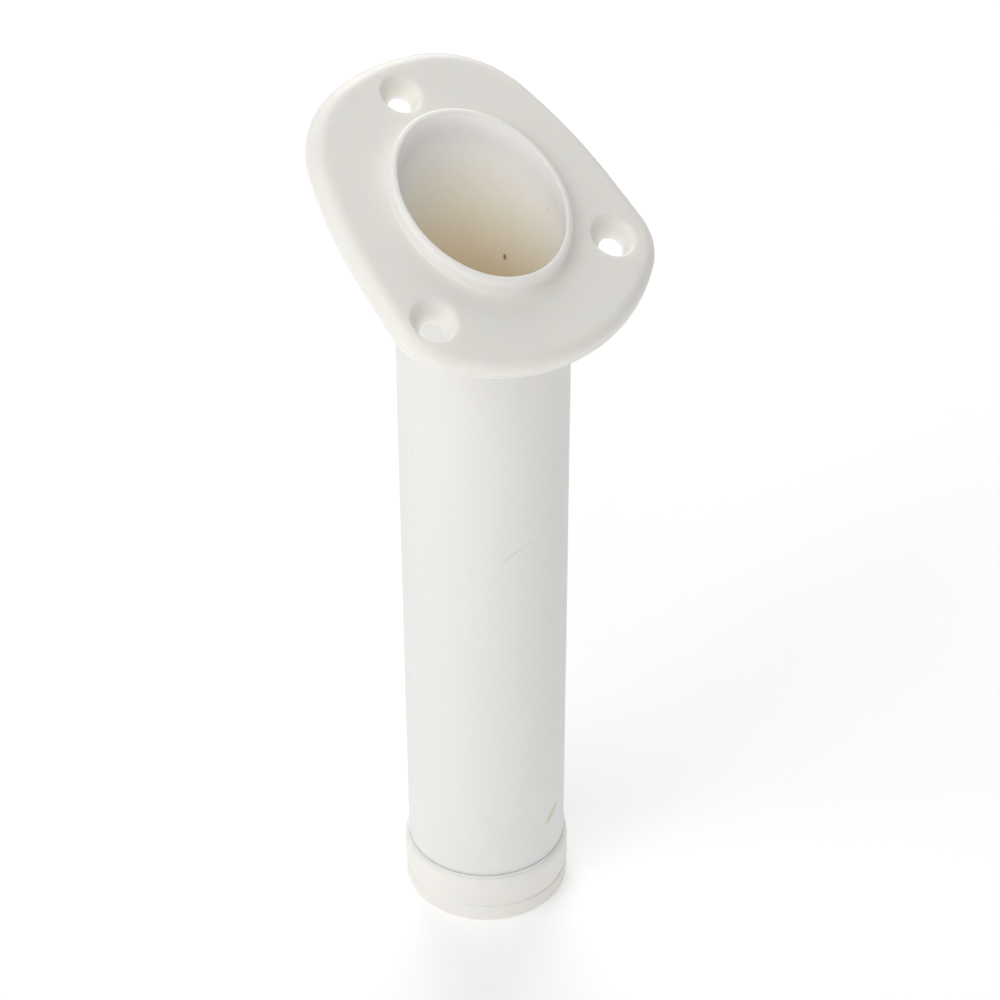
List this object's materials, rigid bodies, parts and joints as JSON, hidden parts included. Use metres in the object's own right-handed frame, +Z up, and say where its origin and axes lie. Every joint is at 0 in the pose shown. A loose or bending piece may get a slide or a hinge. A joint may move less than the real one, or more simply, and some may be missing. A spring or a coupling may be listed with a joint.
{
  "type": "rod holder",
  "caption": "Flush-mount fishing rod holder: an upright tube with a tilted, rounded flange, recessed screw holes, a raised lip round its mouth and a push-on end cap.",
  "frame": {"origin": "centre of the end cap's flat bottom face, on the tube's axis", "axes": "+Z up along the tube's axis towards the mouth; the flange leans 30 degrees so that its low end points to -Y and its high end to +Y; X runs across the flange, and the holder is symmetric about x = 0"},
  "size_m": [0.085, 0.0859, 0.2595],
  "materials": {
    "body_plastic": "satin white moulded plastic, slightly warm, with faint handling marks",
    "cap_plastic": "satin white moulded plastic"
  },
  "bodies": {
    "holder": {"holder_body": "body_plastic"},
    "cap": {"end_cap": "cap_plastic"}
  },
  "joints": [
    {"name": "cap_pull_off", "type": "slide", "parent": "holder", "child": "cap", "axis": [0, 0, -1], "range_m": [0, 0.02]}
  ]
}
